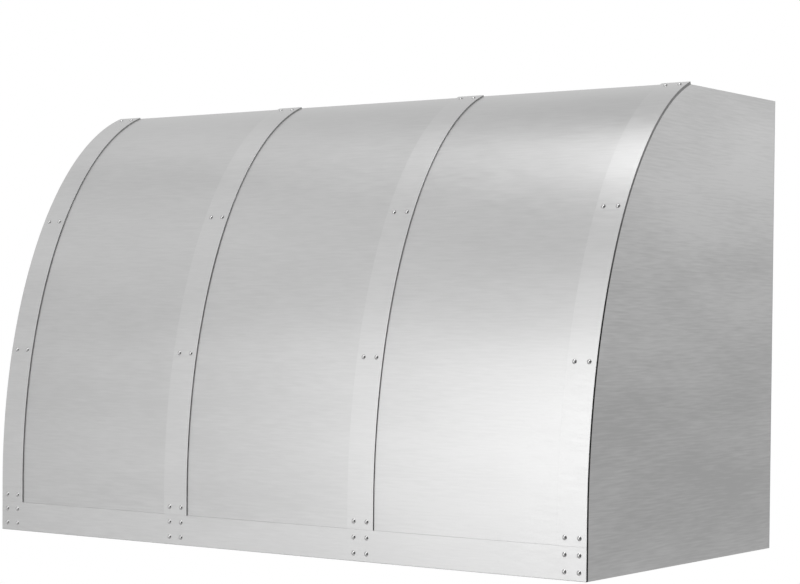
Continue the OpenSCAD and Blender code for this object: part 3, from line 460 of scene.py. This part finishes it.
# Turns the mesh into a piece that rides its body and stands for the nodes it replaces. The bevel is
# in millimetres, and edges sharper than the smooth angle stay crisp
def finishPiece(name, bm, materials, body, replaced, bevel=0.0, smooth=35.0):
    bmesh.ops.recalc_face_normals(bm, faces=bm.faces)
    data = bpy.data.meshes.new(name)
    bm.to_mesh(data)
    bm.free()
    for made in materials:
        data.materials.append(made)
    piece = bpy.data.objects.new(name, data)
    bpy.context.scene.collection.objects.link(piece)
    for polygon in data.polygons:
        polygon.use_smooth = True
    if bevel:
        edges = piece.modifiers.new("edges", "BEVEL")
        edges.width = bevel * mm
        edges.segments = bevelled["segments"]
        edges.limit_method = "ANGLE"
        edges.angle_limit = math.radians(bevelled["sharperThan"])
        edges.harden_normals = True
    data.set_sharp_from_angle(angle=math.radians(smooth))
    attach(piece, body)
    if replaced:
        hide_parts(*replaced)
    return piece


def buildSkin():
    bm = bmesh.new()
    outer = shell["strapThick"]
    inner = shell["skinBack"]
    sweptSheet(bm, bandOutline(outer, inner, 0.0), -halfWidth, halfWidth, shell["columns"])
    inside = halfWidth - shell["skin"] - shell["bend"]
    front = inner - shell["depth"]
    bend = [(front - shell["skin"] / 2, 0.0), (front - shell["skin"] / 2, shell["skin"]),
            (front + shell["bend"], shell["skin"]), (front + shell["bend"], 0.0)]
    sweptSheet(bm, bend, -inside, inside)
    # The skin's ends and bend carry the painted shadow line
    finishPiece("curvedSkin", bm, [steel["front"], steel["seam"]], "hood",
                ["front_skin"], shell["deburred"])


def buildBand():
    bm = bmesh.new()
    face = -shell["depth"]
    back = face + shell["strapThick"]
    cut = shell["bandCut"]
    outline = [(face + cut, 0.0), (face, cut), (face, shell["band"]),
               (back, shell["band"]), (back, cut), (back - cut, 0.0)]
    sweptSheet(bm, outline, -halfWidth, halfWidth, shell["columns"], (0, 4, 5))
    # The bottom bar's ends, lower chamfers and bottom face carry the painted shadow line
    finishPiece("bottomBar", bm, [steel["strap"], steel["seam"]], "hood",
                ["bottom_band"], shell["deburred"])


def buildStraps():
    for index, middle in enumerate(strapMiddles):
        bm = bmesh.new()
        outline = bandOutline(0.0, shell["strapThick"], shell["band"])
        sweptSheet(bm, outline, middle - shell["strap"] / 2, middle + shell["strap"] / 2)
        # The last bar's sides carry the painted shadow line, and the other bars keep the plain
        # sheared edge
        side = steel["seam" if index == shell["bays"] else "edge"]
        finishPiece(f"curvedBar{index + 1}", bm, [steel["strap"], side], "hood",
                    [f"strap_{index + 1}"], shell["deburred"])


# Radii and heights of a rivet, and where the pairs stand, in millimetres
rivetSize = {
    "grid": 25.4,
    "edge": 12.7,
    "head": 3.97,
    "high": 2.4,
    "shank": 2.0,
    "tail": 3.0,
    "upset": 1.8,
    "play": 0.2,
    "lowPair": 323.5,
    "midPair": 557.0,
    "segments": 28,
    "rings": 8,
}


def speedAt(angle):
    return math.hypot(shell["reach"] * math.sin(angle), shell["rise"] * math.cos(angle))


# Where each rivet stands on the strap face, its outward direction and the sheets it grips
def rivetPlaces():
    topAngle = shell["sweep"] - rivetSize["edge"] / speedAt(shell["sweep"])
    angles = [math.asin((rivetSize[pair] - shell["skirt"]) / shell["rise"])
              for pair in ("lowPair", "midPair")] + [topAngle]
    rows = [(-shell["depth"], rivetSize["edge"] + k * rivetSize["grid"], (-1.0, 0.0))
            for k in range(3)]
    for angle in angles:
        y, z = curvePoint(angle, 0.0)
        inY, inZ = curvePoint(angle, 1.0)
        rows.append((y, z, (y - inY, z - inZ)))
    places = []
    for index, middle in enumerate(strapMiddles):
        for row, (y, z, out) in enumerate(rows):
            for side in (-0.5, 0.5):
                outer = (index == 0 and side < 0) or (index == shell["bays"] and side > 0)
                upper = row == len(rows) - 1
                grip = shell["skinBack"] + rivetSize["play"]
                grip += shell["skin"] if outer != upper else 0.0
                places.append((middle + side * rivetSize["grid"], y, z, out, grip))
    return places


# Domed rivets: polished heads whose right-hand half mirrors the dim end of the room
def buildRivets():
    segments, rings = rivetSize["segments"], rivetSize["rings"]
    head, high = rivetSize["head"], rivetSize["high"]
    dome = (head * head + high * high) / (2 * high)
    reach = math.asin(head / dome)
    bm = bmesh.new()
    for x, y, z, (outY, outZ), grip in rivetPlaces():
        slopes = [reach * k / rings for k in range(1, rings + 1)]
        profile = [(dome * math.sin(a), high - dome + dome * math.cos(a)) for a in slopes]
        shank, tail = rivetSize["shank"], rivetSize["tail"]
        profile += [(shank, 0.0), (shank, -grip), (tail, -grip), (tail, -grip - rivetSize["upset"])]
        base = Vector((x, y, z))
        axis = Vector((0.0, outY, outZ))
        across = Vector((1.0, 0.0, 0.0))
        along = axis.cross(across)
        spun = []
        for radius, height in profile:
            spun.append([bm.verts.new((base + axis * height + radius * (
                across * math.cos(a) + along * math.sin(a))) * mm)
                for a in (2 * math.pi * s / segments for s in range(segments))])
        crown = bm.verts.new((base + axis * high) * mm)
        foot = bm.verts.new((base - axis * (grip + rivetSize["upset"])) * mm)
        for s in range(segments):
            t = (s + 1) % segments
            bm.faces.new((crown, spun[0][s], spun[0][t]))
            bm.faces.new((foot, spun[-1][t], spun[-1][s]))
            for low, upper in zip(spun, spun[1:]):
                bm.faces.new((low[s], upper[s], upper[t], low[t]))
    finishPiece("domedRivets", bm, [steel["rivet"]], "hood", ["strap_rivets"],
                smooth=50.0)


buildSkin()
buildBand()
buildStraps()
buildRivets()
print("shell built")


# Deburred edges, in millimetres: what a sheared sheet, a drawn bezel and a moulded knob have
brokenEdges = {
    "right_side_panel": 0.2, "left_side_panel": 0.2, "top_panel": 0.2, "back_panel": 0.2,
    "control_panel": 0.25, "grease_trough": 0.2, "grease_cup": 0.25, "duct_collar": 0.2,
    "lamp_bezels": 0.35, "fan_knob": 0.6, "light_knob": 0.6,
}
for index in range(1, 4):
    brokenEdges[f"filter_{index}_frame"] = 0.25
    brokenEdges[f"filter_{index}_baffles"] = 0.15
# How a node's mesh is cleaned first: welded within millimetres, flattened and smoothed by degrees
cleaning = {"weld": 0.002, "flat": 0.6, "smooth": 32.0}


# A node's own shape with its sharp edges broken, so that they catch a thin line of light
def breakEdges(name, width):
    bm = bmesh.new()
    bm.from_mesh(nodes[name].data)
    bmesh.ops.remove_doubles(bm, verts=bm.verts, dist=cleaning["weld"] * mm)
    flat = math.radians(cleaning["flat"])
    bmesh.ops.dissolve_limit(bm, angle_limit=flat, verts=bm.verts, edges=bm.edges)
    words = name.split("_")
    pieceName = words[0] + "".join(word.capitalize() for word in words[1:])
    finishPiece(pieceName, bm, [nodeMaterials[name]], nodes[name]["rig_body"], [name],
                width, cleaning["smooth"])


for name, width in brokenEdges.items():
    breakEdges(name, width)
print("edges broken on", len(brokenEdges), "nodes")


# Stage and light

def addLight(name, place, aim, size, power):
    data = bpy.data.lights.new(name, "AREA")
    data.shape = "RECTANGLE"
    data.size, data.size_y = size
    data.energy = power
    made = bpy.data.objects.new(name, data)
    made.location = place
    away = Vector(aim) - Vector(place)
    made.rotation_euler = away.to_track_quat("-Z", "Y").to_euler()
    bpy.context.scene.collection.objects.link(made)


# The room as the metal sees it: a white backdrop behind the hood, a bright window side on the left,
# a dim end on the right, as the rivet heads show, and pale walls elsewhere. The camera sees the
# backdrop's white on every side. Each way is a direction, and each spread is where the part starts
# and where it is full, as cosines of the angle to that direction
room = {
    "walls": 0.69,
    "backdrop": 1.01,
    "backdropWay": (-0.578, 0.814, 0.05),
    "backdropSpread": (0.55, 0.85),
    "window": 0.91,
    "windowWay": (-0.94, 0.342, 0.0),
    "windowSpread": (0.42, 0.77),
    "dark": 0.2,
    "darkWay": (0.853, -0.522, 0.0),
    "darkSpread": (0.47, 0.615),
}


def addWorld():
    world = bpy.data.worlds.new("studio")
    bpy.context.scene.world = world
    world.use_nodes = True
    tree = world.node_tree
    tree.nodes.clear()
    way = addNode(tree, "ShaderNodeTexCoord").outputs["Generated"]
    strength = room["walls"]
    for part in ("backdrop", "window", "dark"):
        near = addNode(tree, "ShaderNodeVectorMath", {
            0: way, 1: room[part + "Way"],
        }, operation="DOT_PRODUCT").outputs["Value"]
        low, high = room[part + "Spread"]
        strength = addNode(tree, "ShaderNodeMapRange", {
            "Value": near, "From Min": low, "From Max": high, "To Min": strength,
            "To Max": room[part],
        }, interpolation_type="SMOOTHSTEP").outputs["Result"]
    seen = addNode(tree, "ShaderNodeLightPath").outputs["Is Camera Ray"]
    walls = addNode(tree, "ShaderNodeBackground", {"Color": grey(1.0), "Strength": strength})
    white = addNode(tree, "ShaderNodeBackground", {"Color": grey(1.0), "Strength": 1.0})
    both = addNode(tree, "ShaderNodeMixShader", {
        0: seen, 1: walls.outputs["Background"], 2: white.outputs["Background"],
    })
    addNode(tree, "ShaderNodeOutputWorld", {"Surface": both.outputs["Shader"]})


stage = {"floorHalf": 1.3, "floorPlace": (0.0, -0.3, -0.9), "lampAim": (0.0, -0.4, 0.4)}


# Pale painted floor that the camera sees as the backdrop's white, and sees through from below
def addFloor():
    made, tree = newMaterial("paleFloor")
    seen = addNode(tree, "ShaderNodeLightPath").outputs["Is Camera Ray"]
    behind = addNode(tree, "ShaderNodeNewGeometry").outputs["Backfacing"]
    paint = addNode(tree, "ShaderNodeBsdfDiffuse", {"Color": grey(0.8)})
    white = addNode(tree, "ShaderNodeEmission", {"Color": grey(1.0), "Strength": 1.0})
    clear = addNode(tree, "ShaderNodeBsdfTransparent")
    front = addNode(tree, "ShaderNodeMixShader", {
        0: seen, 1: paint.outputs["BSDF"], 2: white.outputs["Emission"],
    })
    both = addNode(tree, "ShaderNodeMixShader", {
        0: behind, 1: front.outputs["Shader"], 2: clear.outputs["BSDF"],
    })
    finishMaterial(tree, both.outputs["Shader"])
    bm = bmesh.new()
    bmesh.ops.create_grid(bm, x_segments=4, y_segments=4, size=stage["floorHalf"])
    data = bpy.data.meshes.new("paleFloor")
    bm.to_mesh(data)
    bm.free()
    data.materials.append(made)
    floor = bpy.data.objects.new("paleFloor", data)
    floor.location = stage["floorPlace"]
    bpy.context.scene.collection.objects.link(floor)


# Soft boxes around the hood: name, place and size in metres, and power in watts
softBoxes = [
    ("frontLeft", (-0.9, -4.4, 0.6), (1.2, 3.0), 17.7),
    ("frontLeftWide", (-1.6, -4.2, 0.6), (1.2, 3.0), 12.6),
    ("frontHigh", (-0.4, -4.2, 2.6), (1.4, 1.2), 10.6),
    ("overhead", (0.0, -1.6, 4.4), (2.0, 1.6), 29.8),
    ("overheadFront", (0.5, -2.6, 4.0), (1.6, 1.6), 16.3),
    ("rightBack", (2.4, 3.2, 1.3), (2.0, 1.0), 3.9),
    ("leftUp", (-2.6, -2.2, 2.6), (1.6, 1.6), 2.2),
    ("leftBackUp", (-2.3, -0.4, 3.7), (1.6, 1.6), 0.7),
]
addWorld()
addFloor()
for boxName, place, size, power in softBoxes:
    addLight(boxName, place, stage["lampAim"], size, power)

bpy.context.scene.view_settings.view_transform = "Standard"
print("stage and light set")
